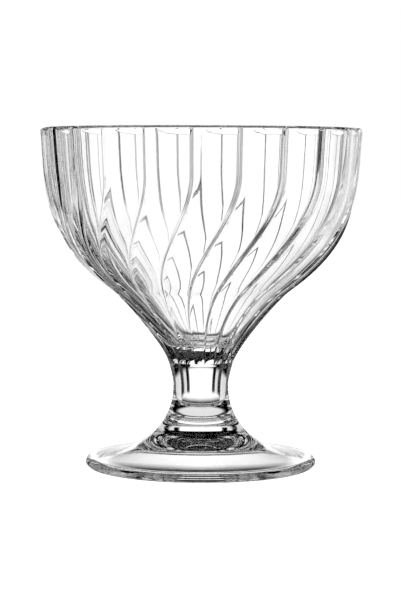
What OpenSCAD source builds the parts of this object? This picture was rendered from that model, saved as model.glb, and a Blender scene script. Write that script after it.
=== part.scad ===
// Footed dessert glass with a wide swirl-ribbed bowl, a short waisted stem and a domed disc foot.
// Millimetres, +Z up, origin at the centre of the resting ring.

/* [Overall] */
// Height from the resting ring to the top of the rim
glass_height = 111; // [100:1:130]
// Height of the joint between the bowl's solid tip and the stem
stem_top_height = 34.5; // [31:0.5:37]
// Height of the joint between the stem and the foot
foot_joint_height = 13; // [11.5:0.5:15]

/* [Bowl] */
// Outside diameter of the rim, over the rib crests
rim_diameter = 105.2; // [96:0.4:116]
// Wall at the rim, from a rib crest to the inside
rim_wall = 3; // [3:0.1:5]
// Radius of the rounding at the rim's outer corner
rim_outer_round = 1.4; // [0.6:0.1:1.4]
// Radius of the rounding at the rim's inner corner
rim_inner_round = 1.3; // [0.5:0.1:1.3]
// Height of the lowest point inside the bowl
bowl_floor_height = 42; // [40:0.5:47]
// Diameter of the nearly flat floor inside the bowl
bowl_floor_diameter = 18; // [14:0.5:21]
// Rise of the floor from its middle to its edge
bowl_floor_dish = 0.8; // [0.4:0.1:2]
// Lean of the inside where it leaves the floor, from vertical
bowl_floor_angle = 47; // [42:1:54]
// Radius of the point on the flank where the outline turns from convex to hollow
flank_radius = 30.2; // [28:0.2:33]
// Height of that point
flank_height = 58.5; // [56:0.5:61]
// Lean of the outline at that point, from vertical
flank_angle = 53.7; // [48:0.1:58]
// Wall across the flank, square to the outside
flank_wall = 4.2; // [3.6:0.1:5.5]
// Lean of the wall at the rim, from vertical
rim_lean = 5; // [2:0.5:7]

/* [Ribs] */
// Number of ribs round the bowl
rib_count = 22; // [16:1:26]
// Depth of each rib's step at the rim
rib_depth = 1.4; // [0.6:0.05:1.6]
// Turn of the ribs from the rim to the stem
swirl_angle = 24; // [0:1:40]
// Height over which the ribs run out above the stem
rib_fade_height = 1.5; // [1:0.5:8]
// Direction of the front rib at the rim, from the front towards +X
front_rib_angle = -4; // [-16:0.1:16]

/* [Stem] */
// Diameter of the joint at the stem's top
stem_top_diameter = 21.5; // [20.5:0.1:23]
// Lean of the outline at the stem's top, from vertical
stem_top_angle = 20; // [12:1:28]
// Smallest diameter of the stem
waist_diameter = 18.2; // [15:0.2:19.6]
// Height of the waist
waist_height = 27.4; // [24:0.2:30]

/* [Foot] */
// Outside diameter of the foot
foot_diameter = 75.9; // [68:0.1:86]
// Diameter of the joint between stem and foot
foot_joint_diameter = 27.6; // [26:0.2:31]
// Lean of the outline at that joint, from vertical
foot_joint_angle = 38.5; // [34:0.5:46]
// Thickness of the foot's rounded edge
foot_edge = 3.4; // [2.6:0.1:4]
// Width of the flat resting ring, inside the rounded edge
rest_ring_width = 1.7; // [1:0.1:4]
// Slope of the hollow under the foot where it leaves the resting ring
hollow_edge_slope = 16; // [10:1:22]
// Diameter of the circle at which the hollow begins to rise faster
hollow_mid_diameter = 44; // [36:1:50]
// Height of the hollow at that circle
hollow_mid_height = 4; // [3:0.1:4.4]
// Slope of the hollow at that circle
hollow_mid_slope = 23; // [17:1:28]
// Height of the hollow's middle
kick_height = 9; // [7.5:0.5:10]

/* [Hidden] */

glass_tint = [0.86, 0.91, 0.93, 0.5];
rim_radius = rim_diameter / 2;
mouth_radius = rim_radius - rim_wall;
stem_top_radius = stem_top_diameter / 2;
waist_radius = waist_diameter / 2;
foot_radius = foot_diameter / 2;
foot_joint_radius = foot_joint_diameter / 2;
bowl_floor_radius = bowl_floor_diameter / 2;
hollow_mid_radius = hollow_mid_diameter / 2;

// Handle lengths of the outlines' curves, as shares of each curve's end-to-end distance
upper_out_shares = [0.32, 0.5];
upper_in_shares = [0.32, 0.5];
lower_out_shares = [0.2, 0.21];
bowl_cone_shares = [0.3, 0.3];
bowl_dish_shares = [0.3, 0.5];
stem_upper_shares = [0.17, 0.21];
stem_lower_shares = [0.22, 0.5];
foot_top_shares = [0.41, 0.25];
hollow_edge_shares = [0.3, 0.3];
hollow_kick_shares = [0.4, 0.4];
// Slope of the foot's top where it meets the rounded edge, in degrees
foot_edge_slope = 2.6;

// Where the swirl begins and ends, as shares of the height from the stem to the rim
swirl_span_shares = [0.14, 0.8];
// How fast the rib depth shrinks with the radius
rib_shrink_share = 0.4;
// Ribs left on the flat top of the rim
rib_rim_share = 0.1;
// Width of a rib's step, as a share of the rib pitch, and rounding of the step's two corners
rib_step_share = 0.08;
rib_corner_share = 0.3;
// Places of the section's points across the step, and then across the flat panel behind it
step_place_shares = [0, 0.25, 0.5, 0.75];
panel_place_shares = [0, 0.35, 0.7];

upper_steps = 10;
lower_steps = 8;
inner_upper_steps = 5;
inner_cone_steps = 4;
inner_dish_steps = 3;
round_steps = 3;
curve_steps = 14;
hollow_steps = 8;
edge_steps = 12;

function bezier(a, b, c, d, t) =
    pow(1 - t, 3) * a
    + 3 * pow(1 - t, 2) * t * b
    + 3 * (1 - t) * t * t * c
    + pow(t, 3) * d;

// Points from a to d, leaving a along from_way and reaching d along to_way
function curve(a, from_way, to_way, d, shares, steps) =
    let (reach = norm(d - a))
    [for (i = [0 : steps])
        bezier(a, a + from_way * reach * shares[0], d - to_way * reach * shares[1], d, i / steps)];

function down_in(angle) = [-sin(angle), -cos(angle)];
function down_out(angle) = [sin(angle), -cos(angle)];
function up_in(slope) = [-cos(slope), sin(slope)];
function ease(x) = let (y = min(1, max(0, x))) y * y * (3 - 2 * y);
function tail(list) = [for (i = [1 : len(list) - 1]) list[i]];
function reverse(list) = [for (i = [len(list) - 1 : -1 : 0]) list[i]];

// Outside of the bowl over the rib crests, rim to stem
rim_shoulder = [rim_radius, glass_height - rim_outer_round];
flank_point = [flank_radius, flank_height];
stem_top_point = [stem_top_radius, stem_top_height];
bowl_outside = concat(
    curve(rim_shoulder, down_in(rim_lean), down_in(flank_angle), flank_point,
        upper_out_shares, upper_steps),
    tail(curve(flank_point, down_in(flank_angle), down_in(stem_top_angle), stem_top_point,
        lower_out_shares, lower_steps)));

// Inside of the bowl, rim to floor
mouth_shoulder = [mouth_radius, glass_height - rim_inner_round];
flank_inner_point = flank_point + flank_wall * [-cos(flank_angle), sin(flank_angle)];
floor_point = [0, bowl_floor_height];
floor_edge_point = [bowl_floor_radius, bowl_floor_height + bowl_floor_dish];
bowl_inside = concat(
    curve(mouth_shoulder, down_in(rim_lean), down_in(flank_angle), flank_inner_point,
        upper_in_shares, inner_upper_steps),
    tail(curve(flank_inner_point, down_in(flank_angle), down_in(bowl_floor_angle),
        floor_edge_point, bowl_cone_shares, inner_cone_steps)),
    tail(curve(floor_edge_point, down_in(bowl_floor_angle), [-1, 0], floor_point,
        bowl_dish_shares, inner_dish_steps)));

// How much of the ribs is there just above the stem, and their turn, at a point of the outside
function rib_amount_at(p) = ease((p[1] - stem_top_height) / rib_fade_height);
function rib_turn_at(p) =
    let (rise = (p[1] - stem_top_height) / (glass_height - stem_top_height))
    let (low = swirl_span_shares[0])
    let (high = swirl_span_shares[1])
    -swirl_angle * (1 - ease((rise - low) / (high - low)));

rib_pitch = 360 / rib_count;
step_turn = rib_pitch * rib_step_share;
panel_turn = rib_pitch - step_turn;
step_points = len(step_place_shares);
rib_points = step_points + len(panel_place_shares);
around = rib_count * rib_points;

// Straight rise from 0 to 1 with both corners rounded
function rounded_rise(x) =
    x < rib_corner_share ? x * x / rib_corner_share / (1 - rib_corner_share) / 2
    : x > 1 - rib_corner_share ? 1 - pow(1 - x, 2) / rib_corner_share / (1 - rib_corner_share) / 2
    : (x - rib_corner_share / 2) / (1 - rib_corner_share);

// Radius of the flat panel as a share of the crest's, at an angle past the crest, where low is the share
// at its far end
function panel_share(turn, low) =
    low * sin(panel_turn) / (sin(turn) + low * sin(panel_turn - turn));

// One point of the section at crest radius r: angle past the foot of the step, and radius as a share of r
function rib_section(i, r) =
    let (low = 1 - rib_depth / r * pow(r / rim_radius, rib_shrink_share))
    let (k = i % rib_points)
    k < step_points
        ? [step_turn * step_place_shares[k], low + (1 - low) * rounded_rise(step_place_shares[k])]
        : let (turn = panel_turn * panel_place_shares[k - step_points])
            [step_turn + turn, panel_share(turn, low)];

// One ring of points at radius and height p, with the given amount of the ribs, turned by turn
function ring(p, amount, turn) =
    [for (i = [0 : around - 1])
        let (s = rib_section(i, p[0]))
        let (r = p[0] * (1 + (s[1] - 1) * amount))
        let (a = front_rib_angle - 90 + turn + floor(i / rib_points) * rib_pitch + s[0])
        [r * cos(a), r * sin(a), p[1]]];

// Quarter rounding at the rim's outer corner, from the wall up to the flat top
outer_round = [for (i = [round_steps : -1 : 1])
    let (a = 90 * i / round_steps)
    [rim_radius - rim_outer_round * (1 - cos(a)), glass_height - rim_outer_round * (1 - sin(a))]];
// The same at the inner corner, from the flat top down to the wall
inner_round = [for (i = [0 : round_steps - 1])
    let (a = 90 * (1 - i / round_steps))
    [mouth_radius + rim_inner_round * (1 - cos(a)), glass_height - rim_inner_round * (1 - sin(a))]];

outside_rings = reverse([for (p = bowl_outside) ring(p, rib_amount_at(p), rib_turn_at(p))]);
round_rings = [for (i = [1 : round_steps])
    ring(outer_round[round_steps - i], 1 - (1 - rib_rim_share) * i / round_steps, 0)];
inside_rings = [for (p = concat(inner_round, bowl_inside)) if (p[0] > 0) ring(p, 0, 0)];
bowl_rings = concat(outside_rings, round_rings, inside_rings);
bowl_points = concat(
    [for (r = bowl_rings) for (p = r) p],
    [[0, 0, stem_top_height], [0, 0, bowl_floor_height]]);
joint_centre = len(bowl_points) - 2;
floor_centre = len(bowl_points) - 1;
last_ring = (len(bowl_rings) - 1) * around;

module bowl() {
    color(glass_tint)
        polyhedron(
            points = bowl_points,
            faces = concat(
                [for (j = [0 : len(bowl_rings) - 2])
                    for (i = [0 : around - 1])
                        let (k = (i + 1) % around)
                        for (f = [
                            [j * around + i, (j + 1) * around + i, (j + 1) * around + k],
                            [j * around + i, (j + 1) * around + k, j * around + k]])
                            f],
                [for (i = [0 : around - 1])
                    [joint_centre, i, (i + 1) % around]],
                [for (i = [0 : around - 1])
                    [floor_centre, last_ring + (i + 1) % around, last_ring + i]]),
            convexity = 6);
}

waist_point = [waist_radius, waist_height];
foot_joint_point = [foot_joint_radius, foot_joint_height];
stem_outline = concat(
    curve(stem_top_point, down_in(stem_top_angle), [0, -1], waist_point,
        stem_upper_shares, curve_steps),
    tail(curve(waist_point, [0, -1], down_out(foot_joint_angle), foot_joint_point,
        stem_lower_shares, curve_steps)));

module stem() {
    color(glass_tint)
        rotate_extrude()
            polygon(concat([[0, stem_top_height]], stem_outline, [[0, foot_joint_height]]));
}

foot_edge_radius = foot_edge / 2;
foot_edge_centre = [foot_radius - foot_edge_radius, foot_edge_radius];
foot_edge_arc = [for (i = [0 : edge_steps])
    let (a = 90 - foot_edge_slope - (180 - foot_edge_slope) * i / edge_steps)
    foot_edge_centre + foot_edge_radius * [cos(a), sin(a)]];
rest_ring_point = [foot_edge_centre[0] - rest_ring_width, 0];
hollow_mid_point = [hollow_mid_radius, hollow_mid_height];
kick_top = [0, kick_height];
foot_outline = concat(
    curve(foot_joint_point, down_out(foot_joint_angle), down_out(90 - foot_edge_slope),
        foot_edge_arc[0], foot_top_shares, curve_steps),
    tail(foot_edge_arc),
    curve(rest_ring_point, up_in(hollow_edge_slope), up_in(hollow_mid_slope), hollow_mid_point,
        hollow_edge_shares, hollow_steps),
    tail(curve(hollow_mid_point, up_in(hollow_mid_slope), [-1, 0], kick_top,
        hollow_kick_shares, hollow_steps)));

module foot() {
    color(glass_tint)
        rotate_extrude()
            polygon(concat([[0, foot_joint_height]], foot_outline));
}

bowl();
stem();
foot();
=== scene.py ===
import math

import bmesh
import bpy
from mathutils import Matrix, Vector


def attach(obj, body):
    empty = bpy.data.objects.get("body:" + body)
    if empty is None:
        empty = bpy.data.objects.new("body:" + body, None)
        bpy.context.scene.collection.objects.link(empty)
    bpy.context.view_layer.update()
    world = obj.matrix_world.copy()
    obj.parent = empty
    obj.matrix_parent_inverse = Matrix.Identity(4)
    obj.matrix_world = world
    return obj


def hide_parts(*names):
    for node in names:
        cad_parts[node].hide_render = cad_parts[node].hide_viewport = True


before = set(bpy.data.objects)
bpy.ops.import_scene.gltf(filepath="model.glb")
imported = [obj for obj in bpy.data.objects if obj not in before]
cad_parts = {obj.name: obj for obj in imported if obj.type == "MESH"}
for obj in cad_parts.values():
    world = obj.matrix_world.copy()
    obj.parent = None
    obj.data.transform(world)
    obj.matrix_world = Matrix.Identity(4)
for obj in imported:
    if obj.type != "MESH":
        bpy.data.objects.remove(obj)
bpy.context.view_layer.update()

mm = 0.001
print("stage: frame loaded")


# outlines, as (radius, height) points in millimetres

def mix(a, b, t):
    return (a[0] + (b[0] - a[0]) * t, a[1] + (b[1] - a[1]) * t)


def smoothCurve(start, leaving, reaching, end, handles, steps):
    # cubic curve; each handle is a share of the straight way from start to end
    reach = math.dist(start, end)
    b = (start[0] + leaving[0] * reach * handles[0], start[1] + leaving[1] * reach * handles[0])
    c = (end[0] - reaching[0] * reach * handles[1], end[1] - reaching[1] * reach * handles[1])
    points = []
    for i in range(steps + 1):
        t = i / steps
        p, q, r = mix(start, b, t), mix(b, c, t), mix(c, end, t)
        points.append(mix(mix(p, q, t), mix(q, r, t), t))
    return points


def lean(angle, outward=False):
    # direction downwards, leaning towards the axis or away from it
    side = 1 if outward else -1
    return (side * math.sin(math.radians(angle)), -math.cos(math.radians(angle)))


def upwards(slope):
    # direction towards the axis, climbing
    return (-math.cos(math.radians(slope)), math.sin(math.radians(slope)))


def ease(x):
    # 0 to 1 with a soft start and end
    x = min(1.0, max(0.0, x))
    return x * x * (3 - 2 * x)


# edit-mode helpers; a ring is the selected loop that the next one grows from

def deselectAll():
    if bpy.context.object and bpy.context.object.mode != "OBJECT":
        bpy.ops.object.mode_set(mode="OBJECT")
    bpy.ops.object.select_all(action="DESELECT")


def selectOnly(mesh, piece, vertices):
    for v in mesh.verts:
        v.select = False
    for v in vertices:
        v.select = True
    mesh.select_flush_mode()
    bmesh.update_edit_mesh(piece.data)


def turnSelected(angle):
    # about the glass's axis; with no window, rotate turns the other way
    bpy.ops.transform.rotate(value=-angle, orient_axis="Z", center_override=(0, 0, 0))


def widenSelected(factor):
    bpy.ops.transform.resize(value=(factor, factor, 1), center_override=(0, 0, 0))


def startRing(name, count, radius, height):
    # a filled circle in edit mode
    deselectAll()
    bpy.ops.mesh.primitive_circle_add(vertices=count, radius=radius * mm, fill_type="NGON",
                                      location=(0, 0, height * mm), enter_editmode=True)
    piece = bpy.context.object
    piece.name = name
    piece.data.name = name
    bpy.ops.mesh.select_mode(type="VERT")
    bpy.ops.mesh.select_all(action="SELECT")
    return piece


def growRing(rise):
    bpy.ops.mesh.extrude_edges_move(TRANSFORM_OT_translate={"value": (0, 0, rise * mm)})


def ringRadius(piece):
    mesh = bmesh.from_edit_mesh(piece.data)
    return max(math.hypot(v.co.x, v.co.y) for v in mesh.verts if v.select) / mm


def roundRing(piece, radius, height):
    # takes the ribs out of the ring and sets its radius
    bpy.ops.transform.tosphere(value=1, center_override=(0, 0, height * mm))
    widenSelected(radius / ringRadius(piece))


def followOutline(outline):
    # one round ring for each point after the first, where the ring is already
    for was, now in zip(outline, outline[1:]):
        growRing(now[1] - was[1])
        widenSelected(now[0] / was[0])


def closePole(rise):
    # draws a last ring together on the axis
    growRing(rise)
    bpy.ops.mesh.merge(type="CENTER")


# materials

glassLook = {
    "tint": (1.0, 1.0, 1.0, 1.0),
    "ior": 1.52,
    "roughness": 0.0,
    "waveScale": 55.0,  # slow swells left by the mould
    "waveDetail": 1.0,
    "waveStrength": 0.35,
    "waveDepth": 0.0002,
    "skinScale": 420.0,  # fine unevenness of the fire-polished skin
    "skinDetail": 2.0,
    "skinShare": 0.03,
}


def addNode(tree, kind, x, y, **settings):
    node = tree.nodes.new(kind)
    node.location = (x, y)
    for key, value in settings.items():
        setattr(node, key, value)
    return node


def newMaterial(name):
    # a material that has only its output node
    material = bpy.data.materials.new(name)
    material.use_nodes = True
    tree = material.node_tree
    tree.nodes.clear()
    return material, tree, addNode(tree, "ShaderNodeOutputMaterial", 600, 0)


def makeClearGlass(name, look):
    material, tree, out = newMaterial(name)
    glass = addNode(tree, "ShaderNodeBsdfGlass", 100, 0)
    glass.inputs["Color"].default_value = look["tint"]
    glass.inputs["IOR"].default_value = look["ior"]
    glass.inputs["Roughness"].default_value = look["roughness"]
    place = addNode(tree, "ShaderNodeTexCoord", -900, -100)
    swell = addNode(tree, "ShaderNodeTexNoise", -650, 0)
    swell.inputs["Scale"].default_value = look["waveScale"]
    swell.inputs["Detail"].default_value = look["waveDetail"]
    skin = addNode(tree, "ShaderNodeTexNoise", -650, -250)
    skin.inputs["Scale"].default_value = look["skinScale"]
    skin.inputs["Detail"].default_value = look["skinDetail"]
    relief = addNode(tree, "ShaderNodeMath", -400, -100, operation="MULTIPLY_ADD")
    relief.inputs[1].default_value = look["skinShare"]
    bump = addNode(tree, "ShaderNodeBump", -150, -100)
    bump.inputs["Strength"].default_value = look["waveStrength"]
    bump.inputs["Distance"].default_value = look["waveDepth"]
    for noise in (swell, skin):
        tree.links.new(place.outputs["Object"], noise.inputs["Vector"])
    tree.links.new(skin.outputs[0], relief.inputs[0])
    tree.links.new(swell.outputs[0], relief.inputs[2])
    tree.links.new(relief.outputs[0], bump.inputs["Height"])
    tree.links.new(bump.outputs[0], glass.inputs["Normal"])
    # the lamp's light passes through to the floor
    clear = addNode(tree, "ShaderNodeBsdfTransparent", 100, -200)
    path = addNode(tree, "ShaderNodeLightPath", 100, 300)
    blend = addNode(tree, "ShaderNodeMixShader", 380, 0)
    tree.links.new(path.outputs["Is Shadow Ray"], blend.inputs[0])
    tree.links.new(glass.outputs[0], blend.inputs[1])
    tree.links.new(clear.outputs[0], blend.inputs[2])
    tree.links.new(blend.outputs[0], out.inputs["Surface"])
    return material


def makeFusedJoint(name):
    # the faces where two pieces are melted together, which light crosses unbent
    material, tree, out = newMaterial(name)
    clear = addNode(tree, "ShaderNodeBsdfTransparent", 0, 0)
    tree.links.new(clear.outputs[0], out.inputs["Surface"])
    return material


clearGlass = makeClearGlass("clearGlass", glassLook)
fusedJoint = makeFusedJoint("fusedJoint")
print("stage: materials made")


def finishPiece(piece, jointHeights):
    # clear glass all over, but for the level faces fused to a neighbour
    bpy.ops.mesh.select_all(action="SELECT")
    bpy.ops.mesh.normals_make_consistent(inside=False)
    deselectAll()
    piece.select_set(True)
    bpy.context.view_layer.objects.active = piece
    bpy.ops.object.transform_apply(location=True, rotation=True, scale=True)
    piece.data.materials.append(clearGlass)
    piece.data.materials.append(fusedJoint)
    bpy.ops.object.shade_smooth()
    upright, touching = 0.999, 1e-6  # least height of a level face's normal, and metres
    sharp = set()
    for face in piece.data.polygons:
        if abs(face.normal.z) > upright and any(
                abs(face.center.z - height * mm) < touching for height in jointHeights):
            face.material_index = 1
            face.use_smooth = False
            sharp.update(face.edge_keys)
    for edge in piece.data.edges:
        edge.use_edge_sharp = edge.key in sharp
    return piece


# bowl

bowlShape = {
    "height": 111.0,
    "rimRadius": 52.6,
    "rimWall": 3.0,
    "rimOuterRound": 1.4,
    "rimOuterSteps": 6,
    "rimInnerRound": 1.3,
    "rimInnerSteps": 5,
    "rimLean": 5.0,  # degrees off the upright, as all the angles here
    "flankRadius": 30.2,
    "flankHeight": 58.5,
    "flankAngle": 53.7,
    "flankWall": 4.2,
    "flankHandles": (0.32, 0.5),  # from the rim down, outside and inside
    "flankSteps": 30,
    "innerFlankSteps": 22,
    "hipHandles": (0.3, 0.3),  # from the flank down to the floor's edge, inside
    "hipSteps": 14,
    "floorHeight": 42.0,
    "floorRadius": 9.0,
    "floorEdge": 42.8,
    "floorAngle": 47.0,
    "floorHandles": (0.3, 0.5),
    "floorSteps": 12,
    "tipRadius": 10.75,
    "tipHeight": 34.5,
    "tipAngle": 20.0,
    "tipHandles": (0.2, 0.21),  # from the flank down to the stem, outside
    "tipSteps": 26,
    "ribCount": 22,
    "ribDepth": 1.4,
    "ribStep": 0.08,  # share of a rib's width
    "ribCorner": 0.3,  # share of the step
    "ribShrink": 0.4,
    "ribFade": 1.5,
    "ribAtRim": 0.1,  # share of the depth left on the rim's flat top
    "ribPlaces": (0.0, 0.013, 0.026, 0.04, 0.054, 0.067, 0.08, 0.09, 0.2, 0.35, 0.5, 0.65, 0.8,
                  0.92, 0.985),  # shares of a rib's width that have a point
    "swirl": 24.0,
    "swirlLow": 0.14,  # shares of the bowl's height
    "swirlHigh": 0.80,
    "frontRib": -4.0,  # degrees from the front
}


def roundedRise(x, corner):
    # a straight rise from 0 to 1 with both corners rounded
    if x < corner:
        return x * x / corner / (1 - corner) / 2
    if x > 1 - corner:
        return 1 - (1 - x) ** 2 / corner / (1 - corner) / 2
    return (x - corner / 2) / (1 - corner)


def ribRadius(place, shape, radius, depth):
    # a steep step up to the crest, then a flat panel down to the next step
    step = shape["ribStep"]
    if place < step:
        return radius - depth * (1 - roundedRise(place / step, shape["ribCorner"]))
    wide = 2 * math.pi / shape["ribCount"] * (1 - step)
    along = wide * (place - step) / (1 - step)
    low = radius - depth
    across = radius * math.sin(along) + low * math.sin(wide - along)
    return radius * low * math.sin(wide) / across


def ribAmount(shape, height):
    # the ribs run out just above the stem
    return ease((height - shape["tipHeight"]) / shape["ribFade"])


def ribDepthAt(shape, radius):
    return shape["ribDepth"] * (radius / shape["rimRadius"]) ** shape["ribShrink"]


def ribTurnAt(shape, height):
    # degrees that the ribs have turned from their place at the rim
    rise = (height - shape["tipHeight"]) / (shape["height"] - shape["tipHeight"])
    share = (rise - shape["swirlLow"]) / (shape["swirlHigh"] - shape["swirlLow"])
    return -shape["swirl"] * (1 - ease(share))


def firstRib(shape, turn):
    # degrees round from +X, where the front is at -90
    return shape["frontRib"] - 90 + turn


def placeOf(vertex, shape, turn):
    # which of the rib's places a ring vertex has
    pitch = 360 / shape["ribCount"]
    angle = math.degrees(math.atan2(vertex.co.y, vertex.co.x)) - firstRib(shape, turn)
    share = (angle / pitch) % 1.0
    gaps = [abs(place - share) for place in shape["ribPlaces"]]
    return min(range(len(gaps)), key=lambda i: min(gaps[i], 1 - gaps[i]))


def pressRibs(piece, shape, radius, amount, turn):
    # draws each place of the round ring in to the rib section
    mesh = bmesh.from_edit_mesh(piece.data)
    ring = [v for v in mesh.verts if v.select]
    groups = {}
    for v in ring:
        groups.setdefault(placeOf(v, shape, turn), []).append(v)
    depth = ribDepthAt(shape, radius)
    for i, group in groups.items():
        pressed = ribRadius(shape["ribPlaces"][i], shape, radius, depth)
        factor = 1 + (pressed / radius - 1) * amount
        if factor < 1:
            selectOnly(mesh, piece, group)
            widenSelected(factor)
    selectOnly(mesh, piece, ring)


def spaceRing(piece, shape, turn):
    # turns the first ring to the ribs and crowds its points at each rib's step
    places = shape["ribPlaces"]
    first = math.radians(firstRib(shape, turn))
    turnSelected(first)
    slack = 1e-5
    mesh = bmesh.from_edit_mesh(piece.data)
    ring = sorted(mesh.verts, key=lambda v: (math.atan2(v.co.y, v.co.x) - first + slack)
                  % (2 * math.pi))
    pitch = 2 * math.pi / shape["ribCount"]
    for i, place in enumerate(places):
        selectOnly(mesh, piece, ring[i::len(places)])
        turnSelected((place - i / len(places)) * pitch)
    selectOnly(mesh, piece, ring)


def bowlOutside(shape, flank, tip):
    # from the stem up to the rim's outer corner
    top = (shape["rimRadius"], shape["height"] - shape["rimOuterRound"])
    atRim, atFlank, atTip = (lean(shape[key]) for key in ("rimLean", "flankAngle", "tipAngle"))
    outline = smoothCurve(top, atRim, atFlank, flank, shape["flankHandles"], shape["flankSteps"])
    outline += smoothCurve(flank, atFlank, atTip, tip, shape["tipHandles"], shape["tipSteps"])[1:]
    outline.reverse()
    return outline


def bowlInside(shape, flank):
    # from the rim's flat top, round its inner corner and down to the floor's middle
    mouth = shape["rimRadius"] - shape["rimWall"]
    corner, steps = shape["rimInnerRound"], shape["rimInnerSteps"]
    outline = []
    for i in range(steps + 1):
        angle = math.pi / 2 * (1 - i / steps)
        outline.append((mouth + corner * (1 - math.cos(angle)),
                        shape["height"] - corner * (1 - math.sin(angle))))
    angle = math.radians(shape["flankAngle"])
    hip = (flank[0] - shape["flankWall"] * math.cos(angle),
           flank[1] + shape["flankWall"] * math.sin(angle))
    edge, middle = (shape["floorRadius"], shape["floorEdge"]), (0, shape["floorHeight"])
    atRim, atHip, atEdge = (lean(shape[key]) for key in ("rimLean", "flankAngle", "floorAngle"))
    outline += smoothCurve(outline[-1], atRim, atHip, hip, shape["flankHandles"],
                           shape["innerFlankSteps"])[1:]
    outline += smoothCurve(hip, atHip, atEdge, edge, shape["hipHandles"], shape["hipSteps"])[1:]
    outline += smoothCurve(edge, atEdge, (-1, 0), middle, shape["floorHandles"],
                           shape["floorSteps"])[1:]
    return outline


def makeBowl(shape):
    tip = (shape["tipRadius"], shape["tipHeight"])
    flank = (shape["flankRadius"], shape["flankHeight"])
    outside, inside = bowlOutside(shape, flank, tip), bowlInside(shape, flank)
    piece = startRing("bowlGlass", shape["ribCount"] * len(shape["ribPlaces"]), tip[0], tip[1])
    was, turn = tip, ribTurnAt(shape, tip[1])
    spaceRing(piece, shape, turn)
    for radius, height in outside[1:]:
        growRing(height - was[1])
        newTurn = ribTurnAt(shape, height)
        turnSelected(math.radians(newTurn - turn))
        roundRing(piece, radius, height)
        pressRibs(piece, shape, radius, ribAmount(shape, height), newTurn)
        was, turn = (radius, height), newTurn
    corner, steps = shape["rimOuterRound"], shape["rimOuterSteps"]
    for i in range(1, steps + 1):  # over the rim's outer corner, where the ribs grow shallow
        angle = math.pi / 2 * i / steps
        radius = shape["rimRadius"] - corner * (1 - math.cos(angle))
        height = shape["height"] - corner * (1 - math.sin(angle))
        growRing(height - was[1])
        roundRing(piece, radius, height)
        pressRibs(piece, shape, radius, 1 - (1 - shape["ribAtRim"]) * i / steps, 0)
        was = (radius, height)
    growRing(inside[0][1] - was[1])
    roundRing(piece, inside[0][0], inside[0][1])
    followOutline(inside[:-1])
    closePole(inside[-1][1] - inside[-2][1])
    return finishPiece(piece, [shape["tipHeight"]])


bowl = makeBowl(bowlShape)
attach(bowl, "root")
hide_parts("bowl")
print("stage: bowl made,", len(bowl.data.polygons), "faces")


# stem

stemShape = {
    "topRadius": 10.75,
    "topHeight": 34.5,
    "topAngle": 20.0,
    "topHandles": (0.17, 0.21),
    "topSteps": 16,
    "waistRadius": 9.1,
    "waistHeight": 27.4,
    "footRadius": 13.8,
    "footHeight": 13.0,
    "footAngle": 38.5,
    "footHandles": (0.22, 0.5),
    "footSteps": 24,
    "around": 264,
}


def makeStem(shape):
    top = (shape["topRadius"], shape["topHeight"])
    waist = (shape["waistRadius"], shape["waistHeight"])
    low = (shape["footRadius"], shape["footHeight"])
    atTop, atWaist, atLow = lean(shape["topAngle"]), (0, -1), lean(shape["footAngle"], True)
    outline = smoothCurve(top, atTop, atWaist, waist, shape["topHandles"], shape["topSteps"])
    outline += smoothCurve(waist, atWaist, atLow, low, shape["footHandles"],
                           shape["footSteps"])[1:]
    piece = startRing("stemGlass", shape["around"], top[0], top[1])
    followOutline(outline)
    bpy.ops.mesh.edge_face_add()
    return finishPiece(piece, [shape["topHeight"], shape["footHeight"]])


stem = makeStem(stemShape)
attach(stem, "root")
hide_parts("stem")
print("stage: stem made,", len(stem.data.polygons), "faces")


# foot

footShape = {
    "jointRadius": 13.8,
    "jointHeight": 13.0,
    "jointAngle": 38.5,
    "domeHandles": (0.41, 0.25),
    "domeSteps": 28,
    "radius": 37.95,
    "edge": 3.4,
    "edgeSlope": 2.6,
    "edgeSteps": 16,
    "ringInner": 34.55,  # the foot stands on the ring between this and its rounded edge
    "ringSlope": 16.0,
    "ringHandles": (0.3, 0.3),
    "ringSteps": 12,
    "hollowRadius": 22.0,
    "hollowHeight": 4.0,
    "hollowSlope": 23.0,
    "hollowHandles": (0.4, 0.4),
    "hollowSteps": 20,
    "kickHeight": 9.0,
    "around": 264,
}


def footOutline(shape, joint):
    # from the stem over the dome and round the edge, then under it and up the hollow
    edge, steps, slope = shape["edge"] / 2, shape["edgeSteps"], shape["edgeSlope"]
    centre = (shape["radius"] - edge, edge)
    rim = []
    for i in range(steps + 1):
        angle = math.radians(90 - slope - (180 - slope) * i / steps)
        rim.append((centre[0] + edge * math.cos(angle), centre[1] + edge * math.sin(angle)))
    atJoint, atRim = lean(shape["jointAngle"], True), lean(90 - slope, True)
    outline = smoothCurve(joint, atJoint, atRim, rim[0], shape["domeHandles"], shape["domeSteps"])
    outline += rim[1:]
    ring, middle = (shape["ringInner"], 0), (shape["hollowRadius"], shape["hollowHeight"])
    atRing, atMiddle = upwards(shape["ringSlope"]), upwards(shape["hollowSlope"])
    outline += smoothCurve(ring, atRing, atMiddle, middle, shape["ringHandles"],
                           shape["ringSteps"])
    outline += smoothCurve(middle, atMiddle, (-1, 0), (0, shape["kickHeight"]),
                           shape["hollowHandles"], shape["hollowSteps"])[1:]
    return outline


def makeFoot(shape):
    joint = (shape["jointRadius"], shape["jointHeight"])
    outline = footOutline(shape, joint)
    piece = startRing("footGlass", shape["around"], joint[0], joint[1])
    followOutline(outline[:-1])
    closePole(outline[-1][1] - outline[-2][1])
    return finishPiece(piece, [shape["jointHeight"]])


foot = makeFoot(footShape)
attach(foot, "root")
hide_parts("foot")
print("stage: foot made,", len(foot.data.polygons), "faces")


# camera

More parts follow.
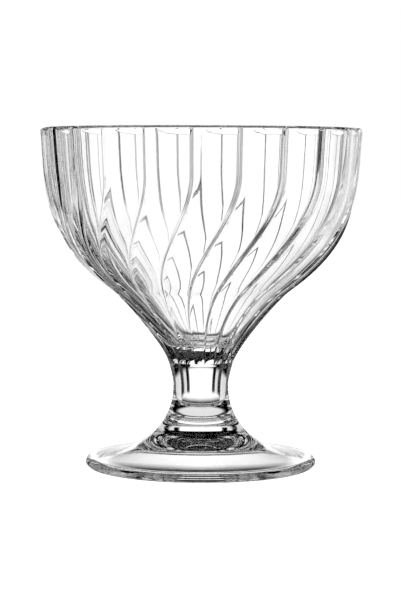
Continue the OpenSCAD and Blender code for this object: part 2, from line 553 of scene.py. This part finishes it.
cameraSetup = {
    "distance": 640.0,  # millimetres
    "side": -0.2,
    "height": 100.5,
    "aim": 54.5,
    "roll": 0.2,  # degrees
    "focalPixels": 1952.4,
    "imageHeight": 601,
    "sensorHeight": 24,
    "clipStart": 0.01,
    "clipEnd": 50,
}


def makeCamera(setup):
    data = bpy.data.cameras.new("photoCamera")
    data.sensor_fit = "VERTICAL"
    data.sensor_height = setup["sensorHeight"]
    data.lens = setup["focalPixels"] * data.sensor_height / setup["imageHeight"]
    data.clip_start = setup["clipStart"]
    data.clip_end = setup["clipEnd"]
    camera = bpy.data.objects.new("photoCamera", data)
    bpy.context.scene.collection.objects.link(camera)
    eye = Vector((setup["side"] * mm, -setup["distance"] * mm, setup["height"] * mm))
    target = Vector((setup["side"] * mm, 0, setup["aim"] * mm))
    facing = (target - eye).to_track_quat("-Z", "Y").to_matrix().to_4x4()
    roll = Matrix.Rotation(math.radians(setup["roll"]), 4, "Z")
    camera.matrix_world = Matrix.Translation(eye) @ facing @ roll
    bpy.context.scene.camera = camera


makeCamera(cameraSetup)
print("stage: camera placed")


# dome of plain cards, which only bent and mirrored rays see

domeSetup = {
    "radius": 6.0,  # metres
    "centreHeight": 0.05,
    "around": 360,
    "rings": 180,
    "turned": -0.5,  # degrees
    "cardLevels": (0.0, 0.03, 0.06, 0.12, 0.2, 0.3, 0.4, 0.5, 0.6, 0.7, 0.8, 0.9, 1.0),
    "backStrength": 1.2,  # makes up for what each surface of the glass mirrors away
    # each pair is two angles in degrees, between which a card comes up or fades; sideways
    # they count from straight behind the glass, and upwards from level
    "backSide": (15.5, 17.5),
    "backTop": (11.0, 16.0),
    "stripStart": (20.8, 22.2),
    "stripEnd": (25.0, 29.0),
    "stripStrength": 0.7,
    "tableTop": (-16.0, -10.0),
    "tableSide": (21.0, 29.0),
    "tableEdge": -12.0,  # the table widens below this
    "tableSpread": 0.9,  # degrees sideways for each degree down
    # painted shade: between these angles the table dims to this level as it nears the glass, for
    # the glass's shadow on it
    "paintedShadeAngles": (-29.0, -16.0),
    "paintedShadeLevel": 0.05,
    "paintedShadeUnderGlass": (-84.0, -60.0),  # painted shade: black under the glass, for the glass's shadow on the table
    "panelPitch": 45.0,
    "panelStart": (31.0, 33.0),
    "panelSide": (9.5, 11.5),
    "panelBottom": (-36.0, -30.0),
    "panelStrength": 0.75,
    "lowTableTop": (-59.0, -47.0),
    "lowTableStrength": 0.7,
}


def fade(value, edge, rising=True):
    # 0 to 1 over an edge, or 1 to 0
    share = ease((value - edge[0]) / (edge[1] - edge[0]))
    return share if rising else 1 - share


def domeLevel(setup, turn, climb):
    # a white backdrop, a light strip beside it on each side, and black all round
    underTop = fade(climb, setup["backTop"], False)
    back = fade(turn, setup["backSide"], False)
    strip = fade(turn, setup["stripStart"]) * fade(turn, setup["stripEnd"], False)
    upper = max(back, strip * setup["stripStrength"]) * underTop
    # a white table, wider further down, that darkens towards the glass in painted shade, for the
    # glass's shadow on it
    spread = turn - (setup["tableEdge"] - climb) * setup["tableSpread"]
    table = fade(climb, setup["tableTop"], False) * fade(spread, setup["tableSide"], False)
    # painted shade near and under the glass, for the glass's shadow on the table
    near = fade(climb, setup["paintedShadeAngles"]) * (1 - setup["paintedShadeLevel"]) + setup["paintedShadeLevel"]
    level = max(upper, table) * near * fade(climb, setup["paintedShadeUnderGlass"])
    # narrower panels at every eighth of a turn beyond the strips, and a low table all round
    half = setup["panelPitch"] / 2
    off = abs((turn + half) % setup["panelPitch"] - half)
    panel = fade(turn, setup["panelStart"]) * fade(off, setup["panelSide"], False)
    panel *= underTop * fade(climb, setup["panelBottom"])
    low = fade(climb, setup["lowTableTop"], False)
    return max(level, panel * setup["panelStrength"], low * setup["lowTableStrength"])


def makeCard(setup, level):
    material, tree, out = newMaterial("studioCard%03d" % round(level * 100))
    glow = addNode(tree, "ShaderNodeEmission", 0, 0)
    glow.inputs["Strength"].default_value = level * setup["backStrength"]
    tree.links.new(glow.outputs[0], out.inputs["Surface"])
    material.cycles.emission_sampling = "NONE"
    return material


def makeDome(setup):
    deselectAll()
    bpy.ops.mesh.primitive_uv_sphere_add(segments=setup["around"], ring_count=setup["rings"],
                                         radius=setup["radius"],
                                         location=(0, 0, setup["centreHeight"]))
    dome = bpy.context.object
    dome.name = "studioDome"
    bpy.ops.object.mode_set(mode="EDIT")
    bpy.ops.mesh.select_all(action="SELECT")
    bpy.ops.mesh.flip_normals()
    turnSelected(math.radians(setup["turned"]))
    bpy.ops.object.mode_set(mode="OBJECT")
    levels = setup["cardLevels"]
    for level in levels:
        dome.data.materials.append(makeCard(setup, level))
    for face in dome.data.polygons:  # each takes the card nearest to its level
        x, y, z = face.center
        turn = abs(math.degrees(math.atan2(x, y)))
        climb = math.degrees(math.atan2(z, math.hypot(x, y)))
        wanted = domeLevel(setup, turn, climb)
        face.material_index = min(range(len(levels)), key=lambda i: abs(levels[i] - wanted))
    dome.visible_camera = False
    dome.visible_diffuse = False
    dome.visible_shadow = False


# floor, which the glass doesn't bend or mirror

floorSetup = {
    "size": 8.0,
    "colour": (0.86, 0.86, 0.86, 1.0),
    "glow": 0.6,
}


def makeFloor(setup):
    deselectAll()
    bpy.ops.mesh.primitive_plane_add(size=setup["size"], location=(0, 0, 0))
    floor = bpy.context.object
    floor.name = "studioFloor"
    material, tree, out = newMaterial("paleFloor")
    matt = addNode(tree, "ShaderNodeBsdfDiffuse", 0, 0)
    matt.inputs["Color"].default_value = setup["colour"]
    path = addNode(tree, "ShaderNodeLightPath", -400, -200)
    seen = addNode(tree, "ShaderNodeMath", -200, -200, operation="MULTIPLY")
    seen.inputs[1].default_value = setup["glow"]
    glow = addNode(tree, "ShaderNodeEmission", 0, -200)
    both = addNode(tree, "ShaderNodeAddShader", 300, 0)
    tree.links.new(path.outputs["Is Camera Ray"], seen.inputs[0])
    tree.links.new(seen.outputs[0], glow.inputs["Strength"])
    tree.links.new(matt.outputs[0], both.inputs[0])
    tree.links.new(glow.outputs[0], both.inputs[1])
    tree.links.new(both.outputs[0], out.inputs["Surface"])
    floor.data.materials.append(material)
    floor.visible_transmission = False
    floor.visible_glossy = False


# light

lightSetup = {
    "skyStrength": 0.6,
    "seenStrength": 1.0,  # what the camera sees behind the glass
    "lampSize": 1.2,
    "lampPower": 18.0,
    "lampPlace": (-0.7, -0.5, 1.6),
    "bounces": 32,
    "glossyBounces": 16,
}


def makeWorld(setup):
    world = bpy.data.worlds.new("studioWorld")
    bpy.context.scene.world = world
    world.use_nodes = True
    tree = world.node_tree
    tree.nodes.clear()
    out = addNode(tree, "ShaderNodeOutputWorld", 600, 0)
    path = addNode(tree, "ShaderNodeLightPath", 0, 300)
    blend = addNode(tree, "ShaderNodeMixShader", 400, 0)
    tree.links.new(path.outputs["Is Camera Ray"], blend.inputs[0])
    for i, key in enumerate(("skyStrength", "seenStrength"), 1):
        white = addNode(tree, "ShaderNodeBackground", 200, 200 - 200 * i)
        white.inputs["Color"].default_value = (1, 1, 1, 1)
        white.inputs["Strength"].default_value = setup[key]
        tree.links.new(white.outputs[0], blend.inputs[i])
    tree.links.new(blend.outputs[0], out.inputs["Surface"])


def makeLamp(setup):
    data = bpy.data.lights.new("softLamp", "AREA")
    data.size = setup["lampSize"]
    data.energy = setup["lampPower"]
    lamp = bpy.data.objects.new("softLamp", data)
    bpy.context.scene.collection.objects.link(lamp)
    place = Vector(setup["lampPlace"])
    facing = (-place).to_track_quat("-Z", "Y").to_matrix().to_4x4()
    lamp.matrix_world = Matrix.Translation(place) @ facing
    lamp.visible_transmission = False
    lamp.visible_glossy = False


makeDome(domeSetup)
makeFloor(floorSetup)
makeWorld(lightSetup)
makeLamp(lightSetup)

scene = bpy.context.scene
scene.view_settings.view_transform = "Standard"
scene.cycles.max_bounces = lightSetup["bounces"]
scene.cycles.transmission_bounces = lightSetup["bounces"]
scene.cycles.transparent_max_bounces = lightSetup["bounces"]
scene.cycles.glossy_bounces = lightSetup["glossyBounces"]
print("stage: studio lit")
